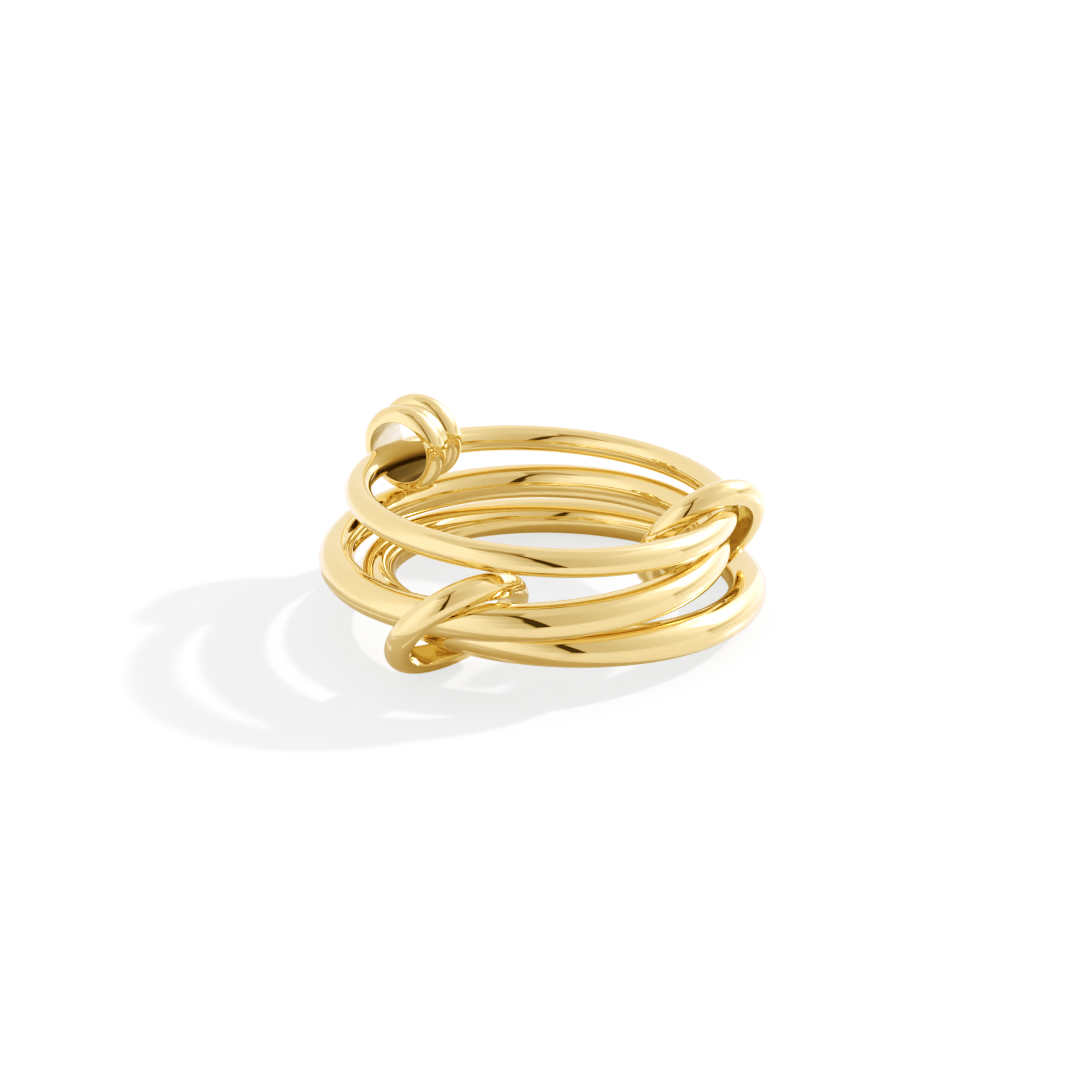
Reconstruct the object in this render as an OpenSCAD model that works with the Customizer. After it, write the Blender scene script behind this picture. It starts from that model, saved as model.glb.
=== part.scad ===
// Fidget ring in millimetres, lying on a surface at z = 0 with its finger hole upwards.
// Three loose bands are held together by two connector links, and a bead slides on the top band.
// Every piece is a body of revolution, so each is drawn about +Z and then laid in its place.

/* [Bands] */
// Inside diameter of each band, which is the finger size
inner_d = 17.3; // [17.3:0.1:18.2]
// Wire thickness of the top band
top_wire_d = 1.4; // [1.1:0.05:1.4]
// Wire thickness of the middle band
middle_wire_d = 1.85; // [1.5:0.05:1.85]
// Wire thickness of the bottom band
bottom_wire_d = 1.95; // [1.6:0.05:1.95]

/* [Links] */
// Outside diameter of a connector link
link_d = 7.65; // [7.55:0.05:7.65]
// Thickness of a link's wire before its inside is flattened
link_wire_d = 1.35; // [1.1:0.05:1.35]
// Depth of the flat along the inside of a link's wire
link_flat = 0.32; // [0.32:0.02:0.6]

/* [Bead] */
// Bore through the bead
bead_bore_d = 3.4; // [3.4:0.05:3.7]
// Outside diameter of the bead over its ribs
bead_d = 4.77; // [4.5:0.01:4.77]
// Distance between the middles of the bead's two ribs
bead_pitch = 1.7; // [1.3:0.05:1.7]
// Wall left between the bore and the groove
bead_wall = 0.34; // [0.25:0.01:0.4]

/* [Hidden] */
$fn = 96;

// The lay below is measured on a ring of this inside diameter, and grows with the finger size
laid_d = 17.3;
grow = inner_d / laid_d;
link_r = grow * (link_d - link_wire_d) / 2;

// Lean of each piece's axis away from upright, and the compass direction that it leans in
top_lean = [4.4, 38.5];
middle_lean = [2.3, 142];
bottom_lean = [4.1, 60];
front_lean = [53, 125.5];
side_lean = [61.5, 125.5];
bead_lean = [86, 62];

// Height of the centre of a leaning ring that touches the surface with its lowest point
function resting(radius, wire_d, lean) = wire_d / 2 + radius * sin(lean[0]);

// Centre radius of the wire of a band
function band_r(wire_d) = (inner_d + wire_d) / 2;

// Centre of each piece. The bottom band and the front link stand on the surface
top_at = grow * [-0.12, -0.02, 6.48];
middle_at = grow * [-1.02, -0.58, 3.92];
bottom_at = [grow * 0.92, grow * 0.68, resting(band_r(bottom_wire_d), bottom_wire_d, bottom_lean)];
front_at = [-grow * 4.24, -grow * 8.19, resting(link_r, link_wire_d, front_lean)];
side_at = grow * [7.94, -0.89, 4.65];
bead_at = grow * [-6.98, 6.28, 7.02];

// Places a piece that is drawn about +Z
module laid(at, lean) translate(at) rotate([0, lean[0], lean[1]]) children();

// Band of round wire
module band(wire_d) rotate_extrude() translate([band_r(wire_d), 0]) circle(d = wire_d);

// Link of round wire, with a flat along its inside
module link() rotate_extrude() difference() {
    translate([link_r, 0]) circle(d = link_wire_d);
    translate([0, -link_wire_d]) square([link_r - link_wire_d / 2 + link_flat, 2 * link_wire_d]);
}

// Bead with two half-round ribs round one plain bore
module ribbed_bead() {
    bore_r = bead_bore_d / 2;
    rib_r = (bead_d - bead_bore_d) / 2;
    bead_l = bead_pitch + 2 * rib_r;
    rotate_extrude() difference() {
        union() {
            for (side = [-1, 1]) translate([bore_r, side * bead_pitch / 2]) circle(r = rib_r);
            translate([0, -bead_pitch / 2]) square([bore_r + bead_wall, bead_pitch]);
        }
        translate([0, -bead_l]) square([bore_r, 2 * bead_l]);
    }
}

module top_band() color("#ecd08a") laid(top_at, top_lean) band(top_wire_d);
module middle_band() color("#e6c67a") laid(middle_at, middle_lean) band(middle_wire_d);
module bottom_band() color("#e0bd6c") laid(bottom_at, bottom_lean) band(bottom_wire_d);
module front_link() color("#e9ca80") laid(front_at, front_lean) link();
module side_link() color("#e9ca80") laid(side_at, side_lean) link();
module bead() color("#efd592") laid(bead_at, bead_lean) ribbed_bead();

top_band();
middle_band();
bottom_band();
front_link();
side_link();
bead();
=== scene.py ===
from math import cos, pi, radians, sin

import bpy
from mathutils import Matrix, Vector


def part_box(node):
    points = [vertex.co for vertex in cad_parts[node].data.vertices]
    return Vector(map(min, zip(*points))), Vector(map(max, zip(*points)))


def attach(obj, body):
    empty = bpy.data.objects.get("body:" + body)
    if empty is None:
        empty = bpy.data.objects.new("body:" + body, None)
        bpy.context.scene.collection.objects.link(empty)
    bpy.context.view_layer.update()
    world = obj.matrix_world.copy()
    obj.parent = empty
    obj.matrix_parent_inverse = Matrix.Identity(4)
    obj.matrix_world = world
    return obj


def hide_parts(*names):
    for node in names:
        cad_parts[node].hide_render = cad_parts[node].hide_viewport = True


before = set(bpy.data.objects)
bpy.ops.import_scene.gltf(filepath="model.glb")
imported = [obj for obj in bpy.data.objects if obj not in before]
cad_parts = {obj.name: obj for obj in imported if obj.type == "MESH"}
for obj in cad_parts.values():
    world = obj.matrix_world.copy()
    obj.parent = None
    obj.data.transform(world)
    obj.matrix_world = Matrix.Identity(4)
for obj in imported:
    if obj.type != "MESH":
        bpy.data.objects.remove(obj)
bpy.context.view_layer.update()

mm = 0.001                      # sizes below are in millimetres, the scene is in metres
print("frame loaded:", ", ".join(sorted(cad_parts)))


# Helpers that several pieces share

meshing = {                     # mm
    "weldProfile": 0.02,        # points of a profile that lie closer are made one
    "weldSeam": 0.002,          # the same for the seam of a whole turn
    "cut": 0.0001,              # tolerance of a cut through a profile
    "crisp": 35,                # degrees between two faces from which a rim is crisp
}


def clearSelection():
    bpy.ops.object.select_all(action="DESELECT")


def startEditing():
    bpy.ops.object.mode_set(mode="EDIT")
    bpy.ops.mesh.select_all(action="SELECT")


def stopEditing():
    bpy.ops.object.mode_set(mode="OBJECT")


def nodeCentre(node):
    low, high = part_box(node)
    return (low + high) / 2


def addProfileCircle(radius, wire, height, sides):
    # a circle standing on edge in the XZ plane, as the cut through a wire
    bpy.ops.mesh.primitive_circle_add(
        vertices=sides, radius=wire / 2 * mm, location=(radius * mm, 0, height * mm),
        rotation=(pi / 2, 0, 0))


def applyPlace():
    bpy.ops.object.transform_apply(location=True, rotation=True, scale=True)


def selectVertices(piece, wanted):
    # selects by place, with the mesh left in edit mode
    bpy.ops.mesh.select_mode(type="VERT")
    bpy.ops.mesh.select_all(action="DESELECT")
    stopEditing()
    for vertex in piece.data.vertices:
        vertex.select = wanted(vertex.co / mm)
    bpy.ops.object.mode_set(mode="EDIT")


def joinEnds(piece, wanted, cuts):
    # closes a gap in the profile with a straight edge of several segments
    selectVertices(piece, wanted)
    bpy.ops.mesh.edge_face_add()
    bpy.ops.mesh.subdivide(number_cuts=cuts)


def spinRound(steps):
    # turns the profile once round the piece's own axis, which is Z while it is drawn
    bpy.ops.mesh.select_all(action="SELECT")
    bpy.ops.mesh.remove_doubles(threshold=meshing["weldProfile"] * mm)
    bpy.ops.mesh.spin(steps=steps, angle=2 * pi, center=(0, 0, 0), axis=(0, 0, 1))
    bpy.ops.mesh.select_all(action="SELECT")
    bpy.ops.mesh.remove_doubles(threshold=meshing["weldSeam"] * mm)
    bpy.ops.mesh.normals_make_consistent(inside=False)


def softenRims(width, segments):
    # polishing rounds every crisp edge a little
    bpy.ops.mesh.select_mode(type="EDGE")
    bpy.ops.mesh.select_all(action="DESELECT")
    bpy.ops.mesh.edges_select_sharp(sharpness=radians(meshing["crisp"]))
    bpy.ops.mesh.bevel(offset=width * mm, segments=segments, affect="EDGES")
    bpy.ops.mesh.select_mode(type="VERT")


def layInPlace(piece, node, lean, compass):
    # the piece's axis leans away from upright, towards a compass direction measured from +X
    piece.rotation_euler = (0, radians(lean), radians(compass))
    piece.location = nodeCentre(node)
    applyPlace()


def finishPiece(piece, name, body, node, material):
    piece.name = name
    piece.data.name = name
    bpy.ops.object.shade_smooth()
    evenNormals = piece.modifiers.new("evenNormals", "WEIGHTED_NORMAL")
    evenNormals.keep_sharp = False
    bpy.ops.object.modifier_apply(modifier=evenNormals.name)
    piece.data.materials.clear()
    piece.data.materials.append(material)
    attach(piece, body)
    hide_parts(node)
    piece.select_set(False)


# Camera, at the height and distance from which the photographed ellipses of the bands agree

viewpoint = {
    "target": (-0.224, -0.144, 4.089),
    "distance": 120,
    "elevation": 23.39,
    "lens": 78,                 # on a 36 mm sensor
    "sensor": 36,
    "nearest": 5,               # clipping distances
    "farthest": 4000,
}


def addCamera():
    rise = radians(viewpoint["elevation"])
    back = Vector((0, -cos(rise), sin(rise)))
    target = Vector(viewpoint["target"]) * mm
    bpy.ops.object.camera_add(location=target + back * viewpoint["distance"] * mm,
                              rotation=(pi / 2 - rise, 0, 0))
    camera = bpy.context.object
    camera.name = "photoCamera"
    camera.data.lens = viewpoint["lens"]
    camera.data.sensor_width = viewpoint["sensor"]
    camera.data.clip_start = viewpoint["nearest"] * mm
    camera.data.clip_end = viewpoint["farthest"] * mm
    bpy.context.scene.camera = camera
    camera.select_set(False)


clearSelection()
addCamera()
print("camera placed")


# Gold, polished to a mirror outside and lacquered, with faint waves and hairlines from the
# polishing wheel. The wheel doesn't reach the inside of the links and the bead, which stays
# satin, and the low side of each inside carries painted shade, darkest at the bottom of the
# bead's bore

goldFinish = {
    "colour": (0.887, 0.753, 0.541, 1),
    "warmColour": (0.887, 0.74, 0.521, 1),
    "toneScale": 120,           # per metre, so one patch of tone is about 8 mm
    "toneDetail": 2,
    "roughness": (0.016, 0.036),
    "smudgeScale": 420,
    "smudgeDetail": 4,
    "smudgeRange": (0.35, 0.7),
    "waveScale": 330,
    "waveDetail": 1,
    "waveHeight": 0.0016,       # mm
    "hairScale": (500, 500, 16000),
    "hairDetail": 3,
    "hairHeight": 0.00004,      # mm
    "lacquer": 0.75,            # clear coat, which pales the metal where it is seen edge on
    "lacquerRoughness": 0.02,
}
paintedLowSpan = (0.25, 0.8)           # where the painted low-side colour starts and is full, in reaches; in the bead's bore it is painted shade
satinEdge = 0.03                # mm over which the polish gives way to satin
# paintedLowColour is a painted colour on the low side of each inside, towards the piece's own +X,
# which points down: painted shade, darkest in the bead's bore and slight in the side link, and a
# touch paler than the rest in the front link
insideSatinAndShade = {
    "frontLink": {"reach": 2.84, "roughness": 0.07, "colour": (0.84, 0.75, 0.6, 1),
                  "paintedLowColour": (0.86, 0.78, 0.62, 1), "metallic": 1},
    "sideLink": {"reach": 2.84, "roughness": 0.14, "colour": (0.68, 0.6, 0.39, 1),
                 "paintedLowColour": (0.55, 0.48, 0.3, 1), "metallic": 0.6},
    "bead": {"reach": 1.74, "roughness": 0.2, "colour": (0.75, 0.74, 0.69, 1),
             "paintedLowColour": (0.06, 0.04, 0.018, 1), "metallic": 0.18},
}


def addNoise(tree, vector, scale, detail):
    noise = tree.nodes.new("ShaderNodeTexNoise")
    noise.inputs["Scale"].default_value = scale
    noise.inputs["Detail"].default_value = detail
    tree.links.new(vector, noise.inputs["Vector"])
    return noise.outputs["Fac"]


def addBump(tree, height, distance, normal=None):
    bump = tree.nodes.new("ShaderNodeBump")
    bump.inputs["Distance"].default_value = distance * mm
    tree.links.new(height, bump.inputs["Height"])
    if normal is not None:
        tree.links.new(normal, bump.inputs["Normal"])
    return bump.outputs["Normal"]


def mixColours(tree, factor, first, second):
    mix = tree.nodes.new("ShaderNodeMix")
    mix.data_type = "RGBA"
    tree.links.new(factor, mix.inputs["Factor"])
    for socket, colour in (("A", first), ("B", second)):
        if isinstance(colour, tuple):
            mix.inputs[socket].default_value = colour
        else:
            tree.links.new(colour, mix.inputs[socket])
    return mix.outputs["Result"]


def rangeOf(tree, value, start, end, low, high):
    node = tree.nodes.new("ShaderNodeMapRange")
    limits = {"From Min": start, "From Max": end, "To Min": low, "To Max": high}
    for socket, number in limits.items():
        if isinstance(number, (int, float)):
            node.inputs[socket].default_value = number
        else:
            tree.links.new(number, node.inputs[socket])
    tree.links.new(value, node.inputs["Value"])
    return node.outputs["Result"]


def goldMaterial(name, centre, lean, compass, inside=None):
    gold = bpy.data.materials.new(name)
    gold.use_nodes = True
    tree = gold.node_tree
    shader = tree.nodes["Principled BSDF"]
    shader.inputs["Metallic"].default_value = 1
    shader.inputs["Coat Weight"].default_value = goldFinish["lacquer"]
    shader.inputs["Coat Roughness"].default_value = goldFinish["lacquerRoughness"]
    place = tree.nodes.new("ShaderNodeTexCoord").outputs["Object"]
    own = tree.nodes.new("ShaderNodeMapping")       # the piece's own axes, Z along its hole
    own.vector_type = "TEXTURE"
    own.inputs["Location"].default_value = centre
    own.inputs["Rotation"].default_value = (0, radians(lean), radians(compass))
    tree.links.new(place, own.inputs["Vector"])

    patches = addNoise(tree, place, goldFinish["toneScale"], goldFinish["toneDetail"])
    colour = mixColours(tree, patches, goldFinish["colour"], goldFinish["warmColour"])
    smudges = addNoise(tree, place, goldFinish["smudgeScale"], goldFinish["smudgeDetail"])
    roughness = rangeOf(tree, smudges, *goldFinish["smudgeRange"], *goldFinish["roughness"])
    if inside:
        axes = tree.nodes.new("ShaderNodeSeparateXYZ")
        tree.links.new(own.outputs["Vector"], axes.inputs["Vector"])
        flat = tree.nodes.new("ShaderNodeCombineXYZ")
        tree.links.new(axes.outputs["X"], flat.inputs["X"])
        tree.links.new(axes.outputs["Y"], flat.inputs["Y"])
        reach = tree.nodes.new("ShaderNodeVectorMath")
        reach.operation = "LENGTH"
        tree.links.new(flat.outputs["Vector"], reach.inputs[0])
        satin = rangeOf(tree, reach.outputs["Value"], inside["reach"] * mm,
                        (inside["reach"] - satinEdge) * mm, 0, 1)
        # painted shade: the inside's colour turns to its painted low colour towards its own +X,
        # which points down
        low = rangeOf(tree, axes.outputs["X"], paintedLowSpan[0] * inside["reach"] * mm,
                      paintedLowSpan[1] * inside["reach"] * mm, 0, 1)
        satinAndShade = mixColours(tree, low, inside["colour"], inside["paintedLowColour"])
        colour = mixColours(tree, satin, colour, satinAndShade)
        roughness = rangeOf(tree, satin, 0, 1, roughness, inside["roughness"])
        tree.links.new(rangeOf(tree, satin, 0, 1, goldFinish["lacquer"], 0),
                       shader.inputs["Coat Weight"])
        if inside["metallic"] < 1:
            tree.links.new(rangeOf(tree, satin, 0, 1, 1, inside["metallic"]),
                           shader.inputs["Metallic"])
    tree.links.new(colour, shader.inputs["Base Color"])
    tree.links.new(roughness, shader.inputs["Roughness"])

    hairs = tree.nodes.new("ShaderNodeMapping")
    hairs.inputs["Scale"].default_value = goldFinish["hairScale"]
    tree.links.new(own.outputs["Vector"], hairs.inputs["Vector"])
    waves = addNoise(tree, place, goldFinish["waveScale"], goldFinish["waveDetail"])
    wavy = addBump(tree, waves, goldFinish["waveHeight"])
    lines = addNoise(tree, hairs.outputs["Vector"], 1, goldFinish["hairDetail"])
    lined = addBump(tree, lines, goldFinish["hairHeight"], wavy)
    tree.links.new(lined, shader.inputs["Normal"])
    return gold


# Bands: round wire, spun from its own circle

bandSizes = {
    "inside": 17.3,
    "wireSides": 64,
    "steps": 288,
    "bands": {
        "topBand": {"node": "top_band", "body": "top", "wire": 1.4, "lean": 4.4, "compass": 38.5},
        "middleBand": {"node": "middle_band", "body": "base", "wire": 1.85, "lean": 2.3,
                       "compass": 142},
        "bottomBand": {"node": "bottom_band", "body": "bottom", "wire": 1.95, "lean": 4.1,
                       "compass": 60},
    },
}


def makeBand(name, band):
    clearSelection()
    centreRadius = (bandSizes["inside"] + band["wire"]) / 2
    addProfileCircle(centreRadius, band["wire"], 0, bandSizes["wireSides"])
    applyPlace()
    piece = bpy.context.object
    startEditing()
    spinRound(bandSizes["steps"])
    stopEditing()
    layInPlace(piece, band["node"], band["lean"], band["compass"])
    gold = goldMaterial(name + "Gold", nodeCentre(band["node"]), band["lean"], band["compass"])
    finishPiece(piece, name, band["body"], band["node"], gold)


for bandName, bandRow in bandSizes["bands"].items():
    makeBand(bandName, bandRow)
print("bands spun")


# Connector links: round wire with a flat along the inside and a crisp rim on each side of it

linkSizes = {
    "outside": 7.65,
    "wire": 1.35,
    "flat": 0.32,               # depth of the flat
    "wireSides": 60,
    "flatCuts": 7,
    "near": 0.005,              # how close a point lies to the line that it is picked by
    "rim": 0.045,
    "rimSegments": 3,
    "steps": 192,
    "links": {
        "frontLink": {"node": "front_link", "lean": 53, "compass": 125.5},
        "sideLink": {"node": "side_link", "lean": 61.5, "compass": 125.5},
    },
}


def makeLink(name, link):
    clearSelection()
    wire = linkSizes["wire"]
    centreRadius = (linkSizes["outside"] - wire) / 2
    flatAt = centreRadius - wire / 2 + linkSizes["flat"]
    addProfileCircle(centreRadius, wire, 0, linkSizes["wireSides"])
    applyPlace()
    piece = bpy.context.object
    startEditing()
    bpy.ops.mesh.bisect(plane_co=(flatAt * mm, 0, 0), plane_no=(1, 0, 0), clear_inner=True,
                        threshold=meshing["cut"] * mm)
    joinEnds(piece, lambda spot: spot.x < flatAt + linkSizes["near"], linkSizes["flatCuts"])
    spinRound(linkSizes["steps"])
    softenRims(linkSizes["rim"], linkSizes["rimSegments"])
    stopEditing()
    layInPlace(piece, link["node"], link["lean"], link["compass"])
    gold = goldMaterial(name + "Gold", nodeCentre(link["node"]), link["lean"], link["compass"],
                        insideSatinAndShade[name])
    finishPiece(piece, name, "base", link["node"], gold)


for linkName, linkRow in linkSizes["links"].items():
    makeLink(linkName, linkRow)
print("links spun")


# Bead: two half-round ribs with a groove between them, round one plain bore

beadSizes = {
    "bore": 3.4,
    "outside": 4.77,
    "pitch": 1.7,
    "wall": 0.34,               # left between the bore and the groove
    "ribSides": 72,
    "grooveCuts": 5,
    "boreCuts": 23,
    "near": 0.002,              # as for the links
    "rim": 0.05,
    "rimSegments": 3,
    "steps": 144,
    "lean": 86,
    "compass": 62,
}


def makeBead():
    clearSelection()
    boreRadius = beadSizes["bore"] / 2
    rib = beadSizes["outside"] - beadSizes["bore"]     # width of a whole rib circle
    half = beadSizes["pitch"] / 2
    floorOfGroove = boreRadius + beadSizes["wall"]
    addProfileCircle(boreRadius, rib, half, beadSizes["ribSides"])
    applyPlace()
    piece = bpy.context.object
    startEditing()
    addProfileCircle(boreRadius, rib, -half, beadSizes["ribSides"])
    bpy.ops.mesh.select_all(action="SELECT")
    bpy.ops.mesh.bisect(plane_co=(boreRadius * mm, 0, 0), plane_no=(1, 0, 0), clear_inner=True,
                        threshold=meshing["cut"] * mm)
    bpy.ops.mesh.select_all(action="SELECT")
    bpy.ops.mesh.bisect(plane_co=(floorOfGroove * mm, 0, 0), plane_no=(1, 0, 0),
                        threshold=meshing["cut"] * mm)
    near = beadSizes["near"]
    selectVertices(piece, lambda spot: spot.x < floorOfGroove - near and abs(spot.z) < half)
    bpy.ops.mesh.delete(type="VERT")
    joinEnds(piece, lambda spot: abs(spot.x - floorOfGroove) < near and abs(spot.z) < half,
             beadSizes["grooveCuts"])
    joinEnds(piece, lambda spot: spot.x < boreRadius + near and abs(spot.z) > half,
             beadSizes["boreCuts"])
    spinRound(beadSizes["steps"])
    softenRims(beadSizes["rim"], beadSizes["rimSegments"])
    stopEditing()
    layInPlace(piece, "bead", beadSizes["lean"], beadSizes["compass"])
    gold = goldMaterial("ribbedBeadGold", nodeCentre("bead"), beadSizes["lean"],
                        beadSizes["compass"], insideSatinAndShade["bead"])
    finishPiece(piece, "ribbedBead", "bead", "bead", gold)


makeBead()
print("bead spun")


# Floor: plain white paper as the camera sees it. The gold mirrors the glossy table that the paper
# lies on, so the two lie at nearly the same height and each shows only where it should

floorSizes = {
    "width": 3200,
    "backdrop": 2600,           # across the plain dome behind the paper
    "domeSides": 48,
    "domeRings": 24,
    "roughness": 0.9,
    "under": 0.02,              # the table lies this much lower than the paper
    "paper": {                  # its tint keeps it neutral once the picture is developed
        "colour": (0.259, 0.208, 0.2, 1), "glow": 0.724, "tint": (0.854, 1, 1.01, 1),
        "gloss": 0,
    },
    "dome": {"colour": (0, 0, 0, 1), "glow": 1, "tint": (1, 1, 1, 1), "gloss": 0},
    "table": {
        "colour": (0.6, 0.6, 0.6, 1), "glow": 0.1, "tint": (1, 1, 1, 1), "gloss": 1,
        "paintedPools": [              # painted pools of light: the table's glow is raised away from the ring's own shadow
            {"turn": 140, "reach": (13, 26), "glow": 0.24},
            {"turn": -100, "reach": (14, 28), "glow": 0.13},
        ],
    },
    "tableFront": 36,           # the table ends this far in front of the ring
    "glossRoughness": 0.12,
}


# Turn is in degrees round the ring from the viewer's side, to the right, and rise in degrees up

def direction(turn, rise):
    a, b = radians(turn), radians(rise)
    return Vector((sin(a) * cos(b), -cos(a) * cos(b), sin(b)))


def mathNode(tree, operation, first, second=None):
    node = tree.nodes.new("ShaderNodeMath")
    node.operation = operation
    for socket, value in zip(node.inputs, (first, second)):
        if value is None:
            continue
        if isinstance(value, (int, float)):
            socket.default_value = value
        else:
            tree.links.new(value, socket)
    return node.outputs["Value"]


def smoothStep(tree, value, start, end):
    node = tree.nodes.new("ShaderNodeMapRange")
    node.interpolation_type = "SMOOTHSTEP"
    node.inputs["From Min"].default_value = start
    node.inputs["From Max"].default_value = end
    tree.links.new(value, node.inputs["Value"])
    return node.outputs["Result"]


def plainWhite(name, finish):
    white = bpy.data.materials.new(name)
    white.use_nodes = True
    tree = white.node_tree
    shader = tree.nodes["Principled BSDF"]
    shader.inputs["Base Color"].default_value = finish["colour"]
    shader.inputs["Roughness"].default_value = floorSizes["roughness"]
    shader.inputs["Specular IOR Level"].default_value = 0
    shader.inputs["Coat Weight"].default_value = finish["gloss"]
    shader.inputs["Coat Roughness"].default_value = floorSizes["glossRoughness"]
    shader.inputs["Emission Color"].default_value = finish["tint"]
    shader.inputs["Emission Strength"].default_value = finish["glow"]
    glow = finish["glow"]
    # painted light: each pool raises the table's glow with distance from the ring in its
    # direction
    for paintedPool in finish.get("paintedPools", []):
        place = tree.nodes.new("ShaderNodeTexCoord")
        reach = tree.nodes.new("ShaderNodeVectorMath")
        reach.operation = "DOT_PRODUCT"
        tree.links.new(place.outputs["Object"], reach.inputs[0])
        reach.inputs[1].default_value = direction(paintedPool["turn"], 0)
        start, end = paintedPool["reach"]
        lit = smoothStep(tree, reach.outputs["Value"], start * mm, end * mm)
        glow = mathNode(tree, "ADD", mathNode(tree, "MULTIPLY", lit, paintedPool["glow"]), glow)
        tree.links.new(glow, shader.inputs["Emission Strength"])
    return white


def showOnly(piece, toCamera):
    # toCamera: seen by the camera alone. Otherwise seen by everything but the camera
    piece.visible_camera = toCamera
    piece.visible_diffuse = not toCamera
    piece.visible_glossy = not toCamera
    piece.visible_transmission = not toCamera
    piece.visible_shadow = not toCamera


def addFloor(name, finish, height, shift, toCamera):
    clearSelection()
    bpy.ops.mesh.primitive_plane_add(size=floorSizes["width"] * mm,
                                     location=(0, shift * mm, height * mm))
    applyPlace()
    floor = bpy.context.object
    floor.name = name
    floor.data.materials.append(plainWhite(name + "White", finish))
    showOnly(floor, toCamera)
    floor.select_set(False)


def addBackdrop():
    clearSelection()
    bpy.ops.mesh.primitive_uv_sphere_add(
        segments=floorSizes["domeSides"], ring_count=floorSizes["domeRings"],
        radius=floorSizes["backdrop"] / 2 * mm)
    dome = bpy.context.object
    dome.name = "plainBackdrop"
    bpy.ops.object.shade_smooth()
    dome.data.materials.append(plainWhite("backdropWhite", floorSizes["dome"]))
    showOnly(dome, True)
    dome.select_set(False)


addFloor("whitePaper", floorSizes["paper"], 0, 0, True)
addFloor("glossyTable", floorSizes["table"], -floorSizes["under"],
         floorSizes["width"] / 2 - floorSizes["tableFront"], False)
addBackdrop()
print("floor laid")


# Studio: a white tent round the ring, with a softbox and its lamp behind the right side

tent = {
    "walls": [                  # turn, brightness
        (-180, 0.94), (-150, 0.91), (-120, 0.94), (-98, 0.97), (-88, 1.06), (-78, 1.13),
        (-42, 1.11), (-28, 1.02), (-16, 0.88), (-6, 0.7), (6, 0.61), (20, 0.64), (32, 0.68),
        (50, 0.78), (66, 0.88), (88, 0.98), (150, 0.95), (180, 0.94),
    ],
    "roof": {"from": 54, "to": 60, "brightness": 0.77},
}
cards = {                       # lit or shaded areas with soft edges
    "topShade": {"turn": (-64, -8), "rise": (59, 80), "soft": 3, "brightness": (0.44, 0.38)},
    "slitShade": {"turn": (-26, 4), "rise": (18, 45), "soft": 4, "brightness": (0.95, 0.42)},
    "highShade": {"turn": (-44, -2), "rise": (42, 58), "soft": 4, "brightness": (0.96, 0.48)},
    "softbox": {"turn": (100, 157), "rise": (-40, 51), "soft": 1.5, "brightness": (1.16, 1.24)},
    "softboxEdge": {"turn": (91, 106), "rise": (-40, 50), "soft": 2, "brightness": (0.92, 1.2)},
    "stand": {"turn": (86, 146), "rise": (1, 13), "soft": 1.5, "brightness": (0.54, 1.2)},
    "lampFace": {"turn": (101, 141), "rise": (22, 43), "soft": 1.5, "brightness": (3, 3)},
}
lamp = {
    "turn": 117, "rise": 32,
    "core": (3, 8), "coreGlow": 8,      # degrees from its middle where the glow is full and nil
    "skirt": (20, 48), "skirtGlow": 0.14,
    "beam": 2.95,               # the bare bulb, which gives the shadow its edge
    "bulb": 2.6,                # degrees across
}
slit = {                        # the opening of the tent, a dark wedge that leans to the left
    "foot": 12.5,               # turn where its right edge meets the table
    "lean": 79,                 # rise of its right edge's plane
    "width": 12.9, "taper": 0.2, "least": 4, "most": 8.2,
    "rightEdge": (-0.3, 0.5),   # degrees over which each edge fades
    "leftEdge": (-1.5, 1.2),
    "rise": (-42, 67), "riseSoft": 5,
    "turn": (-80, 60), "turnSoft": 3,
    "brightness": 0.035,
}


def between(tree, value, low, high, soft):
    # 1 inside the range and 0 outside it, with soft edges
    up = smoothStep(tree, value, low - soft, low + soft)
    down = smoothStep(tree, value, high + soft, high - soft)
    return mathNode(tree, "MULTIPLY", up, down)


def putOver(tree, under, over, mask):
    node = tree.nodes.new("ShaderNodeMix")
    node.data_type = "FLOAT"
    tree.links.new(mask, node.inputs["Factor"])
    tree.links.new(under, node.inputs["A"])
    if isinstance(over, (int, float)):
        node.inputs["B"].default_value = over
    else:
        tree.links.new(over, node.inputs["B"])
    return node.outputs["Result"]


def angleFrom(tree, ray, towards):
    # degrees between the ray and a direction
    dot = tree.nodes.new("ShaderNodeVectorMath")
    dot.operation = "DOT_PRODUCT"
    tree.links.new(ray, dot.inputs[0])
    dot.inputs[1].default_value = towards
    return mathNode(tree, "MULTIPLY", mathNode(tree, "ARCCOSINE", dot.outputs["Value"]), 180 / pi)


def slitMask(tree, ray, turn, rise):
    # distance to the left of the plane of its right edge, against a width that tapers upwards
    foot = direction(slit["foot"], 0)
    up = Vector((0, 0, 1))
    left = up.cross(foot).normalized() * -1
    edge = (up * sin(radians(slit["lean"])) + left * cos(radians(slit["lean"]))).normalized()
    pole = foot.cross(edge).normalized()
    if pole.dot(left) < 0:
        pole = -pole
    inside = mathNode(tree, "SUBTRACT", 90, angleFrom(tree, ray, pole))
    width = mathNode(tree, "MAXIMUM", slit["least"], mathNode(
        tree, "SUBTRACT", slit["width"], mathNode(tree, "MULTIPLY", rise, slit["taper"])))
    width = mathNode(tree, "MINIMUM", slit["most"], width)
    rightEdge = smoothStep(tree, inside, *slit["rightEdge"])
    leftEdge = smoothStep(tree, mathNode(tree, "SUBTRACT", width, inside), *slit["leftEdge"])
    mask = mathNode(tree, "MULTIPLY", rightEdge, leftEdge)
    mask = mathNode(tree, "MULTIPLY", mask, between(tree, rise, *slit["rise"], slit["riseSoft"]))
    return mathNode(tree, "MULTIPLY", mask, between(tree, turn, *slit["turn"], slit["turnSoft"]))


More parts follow.
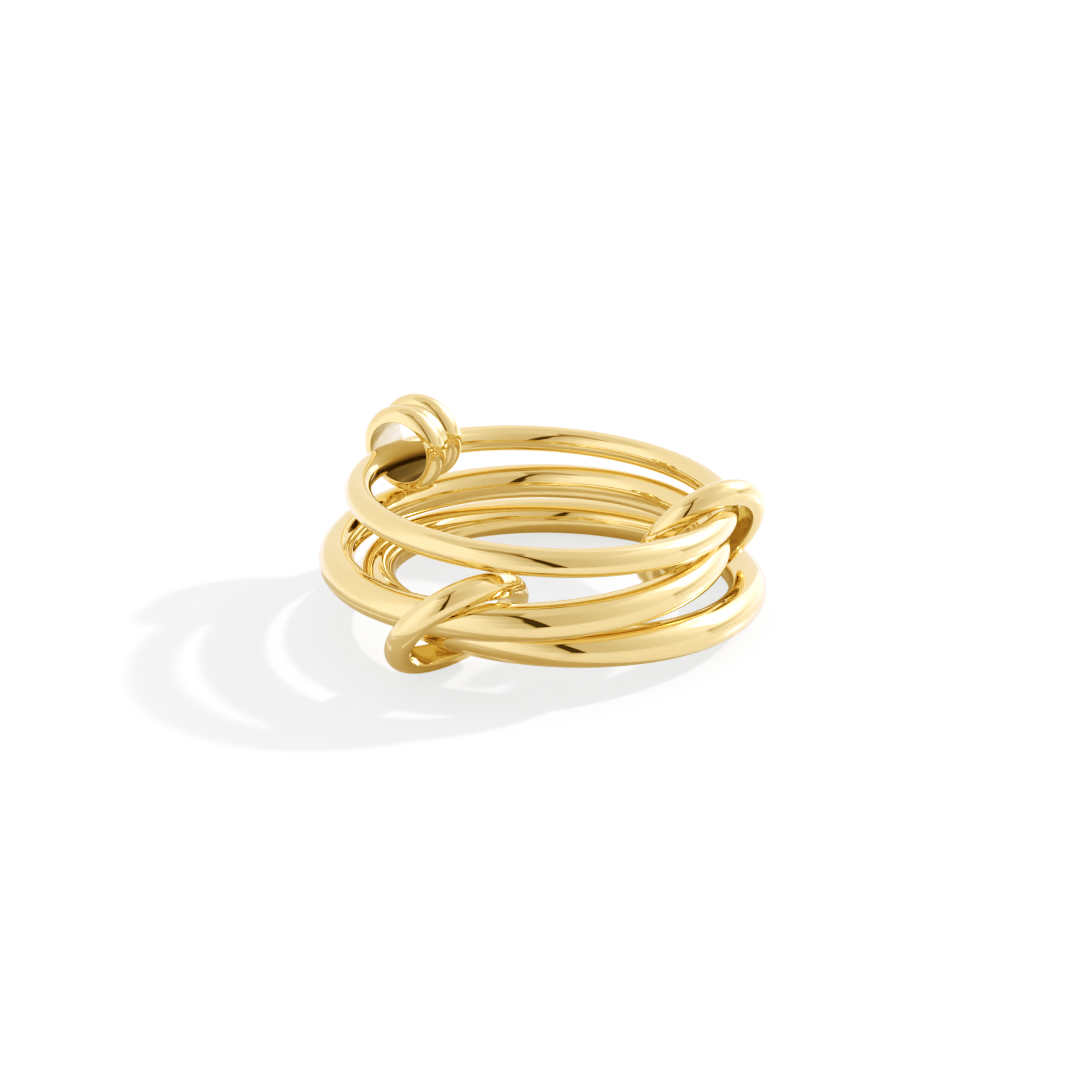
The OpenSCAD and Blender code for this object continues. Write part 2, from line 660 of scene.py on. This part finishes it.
def buildTent():
    world = bpy.data.worlds.new("studioTent")
    bpy.context.scene.world = world
    world.use_nodes = True
    tree = world.node_tree
    place = tree.nodes.new("ShaderNodeTexCoord")
    ray = place.outputs["Generated"]
    axes = tree.nodes.new("ShaderNodeSeparateXYZ")
    tree.links.new(ray, axes.inputs["Vector"])
    towardsViewer = mathNode(tree, "MULTIPLY", axes.outputs["Y"], -1)
    turn = mathNode(tree, "MULTIPLY", mathNode(tree, "ARCTAN2", axes.outputs["X"], towardsViewer),
                    180 / pi)
    rise = mathNode(tree, "MULTIPLY", mathNode(tree, "ARCSINE", axes.outputs["Z"]), 180 / pi)

    share = tree.nodes.new("ShaderNodeMapRange")
    share.inputs["From Min"].default_value = -180
    share.inputs["From Max"].default_value = 180
    tree.links.new(turn, share.inputs["Value"])
    ramp = tree.nodes.new("ShaderNodeValToRGB")
    stops = ramp.color_ramp.elements
    while len(stops) < len(tent["walls"]):
        stops.new(0.5)
    for stop, (at, brightness) in zip(stops, tent["walls"]):
        stop.position = (at + 180) / 360
        stop.color = (brightness, brightness, brightness, 1)
    tree.links.new(share.outputs["Result"], ramp.inputs["Fac"])
    light = mathNode(tree, "MULTIPLY", ramp.outputs["Color"], 1)       # as a plain number

    roof = tent["roof"]
    roofMask = smoothStep(tree, rise, roof["from"], roof["to"])
    light = putOver(tree, light, roof["brightness"], roofMask)
    for card in cards.values():
        mask = mathNode(tree, "MULTIPLY", between(tree, turn, *card["turn"], card["soft"]),
                        between(tree, rise, *card["rise"], card["soft"]))
        shine = rangeOf(tree, turn, *card["turn"], *card["brightness"])
        light = putOver(tree, light, shine, mask)
    light = putOver(tree, light, slit["brightness"], slitMask(tree, ray, turn, rise))

    fromLamp = angleFrom(tree, ray, direction(lamp["turn"], lamp["rise"]))
    for reach, glow in ((lamp["core"], lamp["coreGlow"]), (lamp["skirt"], lamp["skirtGlow"])):
        halo = smoothStep(tree, fromLamp, reach[1], reach[0])
        light = mathNode(tree, "ADD", light, mathNode(tree, "MULTIPLY", halo, glow))

    tree.links.new(light, tree.nodes["Background"].inputs["Color"])


def addBulb():
    bpy.ops.object.light_add(type="SUN")
    bulb = bpy.context.object
    bulb.name = "lampBulb"
    bulb.data.energy = lamp["beam"]
    bulb.data.angle = radians(lamp["bulb"])
    bulb.rotation_euler = direction(lamp["turn"], lamp["rise"]).to_track_quat("Z", "Y").to_euler()
    bulb.visible_glossy = False
    bulb.select_set(False)


buildTent()
addBulb()
print("studio lit")


# The picture is developed as the photograph was, with warmer dark tones and clean whites

tones = {                       # tone in the scene, tone in the picture
    "red": [(0.052, 0.09), (0.128, 0.22), (0.208, 0.34), (0.293, 0.43), (0.452, 0.58),
            (0.617, 0.708), (0.778, 0.847), (0.854, 0.914), (0.944, 0.982)],
    "blue": [(0.032, 0.005), (0.08, 0.015), (0.13, 0.027), (0.183, 0.051), (0.282, 0.117),
             (0.385, 0.218), (0.485, 0.323), (0.589, 0.44), (0.63, 0.5), (0.691, 0.62),
             (0.76, 0.745), (0.86, 0.86)],
}


def developPicture():
    view = bpy.context.scene.view_settings
    view.view_transform = "Standard"
    view.look = "None"
    view.exposure = 0
    view.gamma = 1
    view.use_curve_mapping = True
    curves = view.curve_mapping.curves
    for curve, points in ((curves[0], tones["red"]), (curves[2], tones["blue"])):
        for tone, shown in points:
            curve.points.new(tone, shown)
    view.curve_mapping.update()


developPicture()
